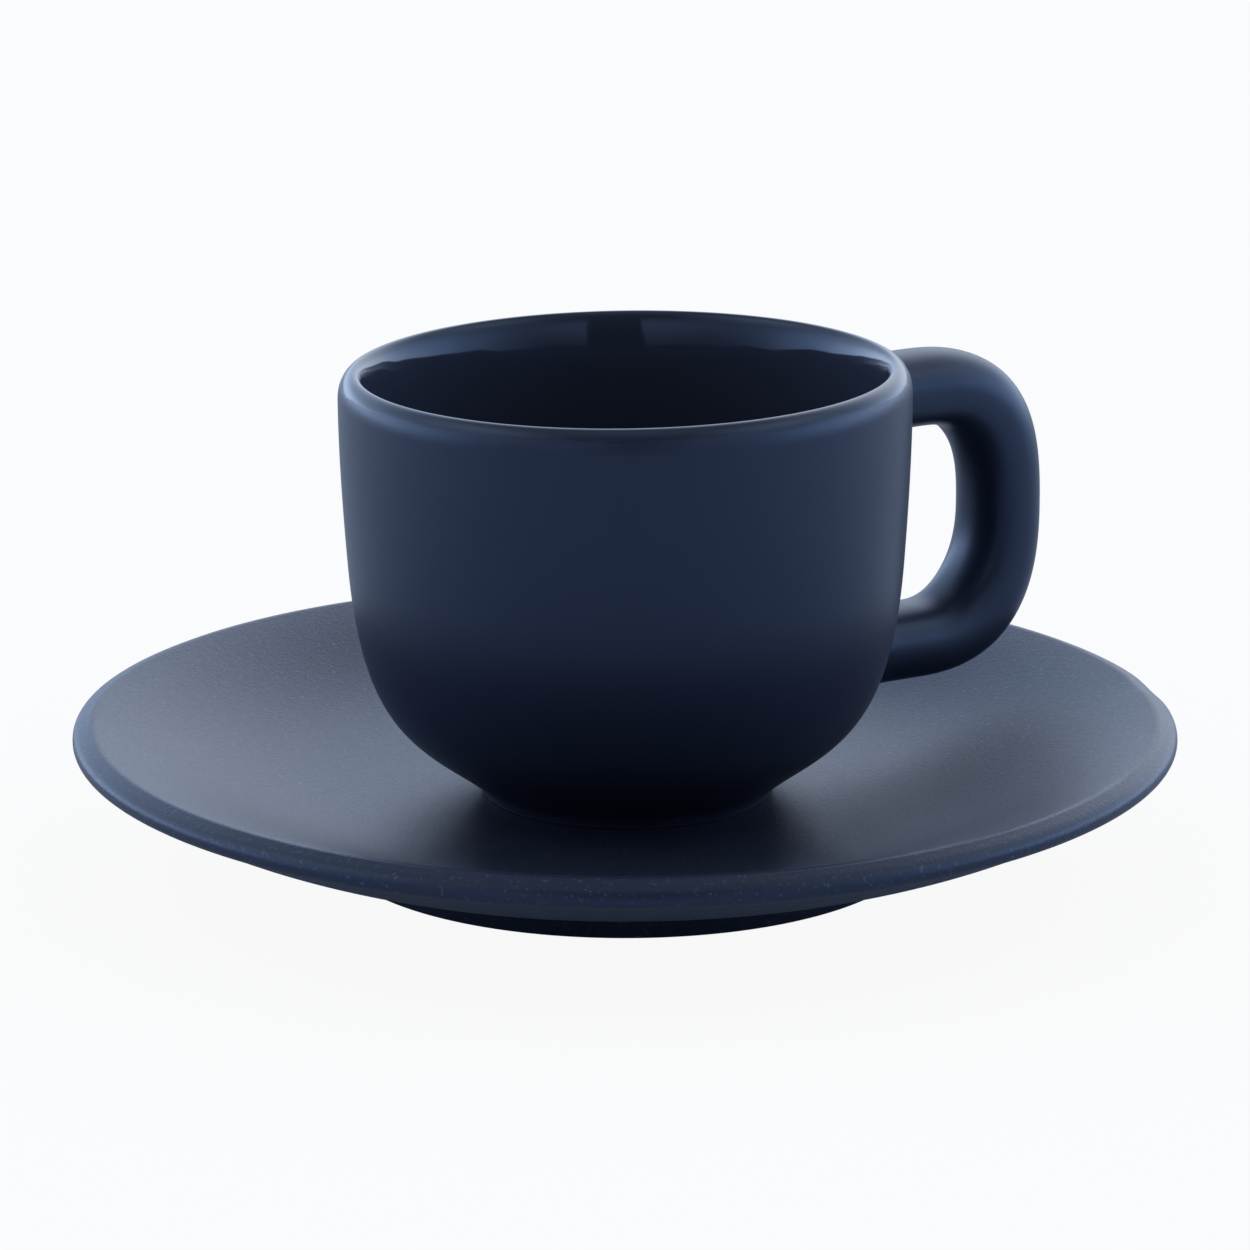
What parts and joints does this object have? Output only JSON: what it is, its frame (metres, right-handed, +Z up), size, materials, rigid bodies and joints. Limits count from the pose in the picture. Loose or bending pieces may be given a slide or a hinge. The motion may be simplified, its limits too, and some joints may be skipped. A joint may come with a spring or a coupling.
{
  "type": "espresso cup with saucer",
  "caption": "Thick stoneware espresso cup with a rounded loop handle, standing on a shallow saucer that it lifts off.",
  "frame": {"origin": "centre of the saucer's foot ring, on the table", "axes": "+Z up along the cup's axis, +X towards the cup's handle"},
  "size_m": [0.12, 0.12, 0.054],
  "materials": {
    "cup_glaze": "satin matt navy glaze outside, glossy inside and on the lip",
    "saucer_glaze": "matt navy glaze with a very fine speckle"
  },
  "bodies": {
    "saucer": {"saucer": "saucer_glaze"},
    "cup": {"cup_body": "cup_glaze", "cup_handle": "cup_glaze"}
  },
  "joints": [
    {"name": "cup_lift", "type": "slide", "parent": "saucer", "child": "cup", "axis": [0, 0, 1], "range_m": [0, 0.06]}
  ]
}
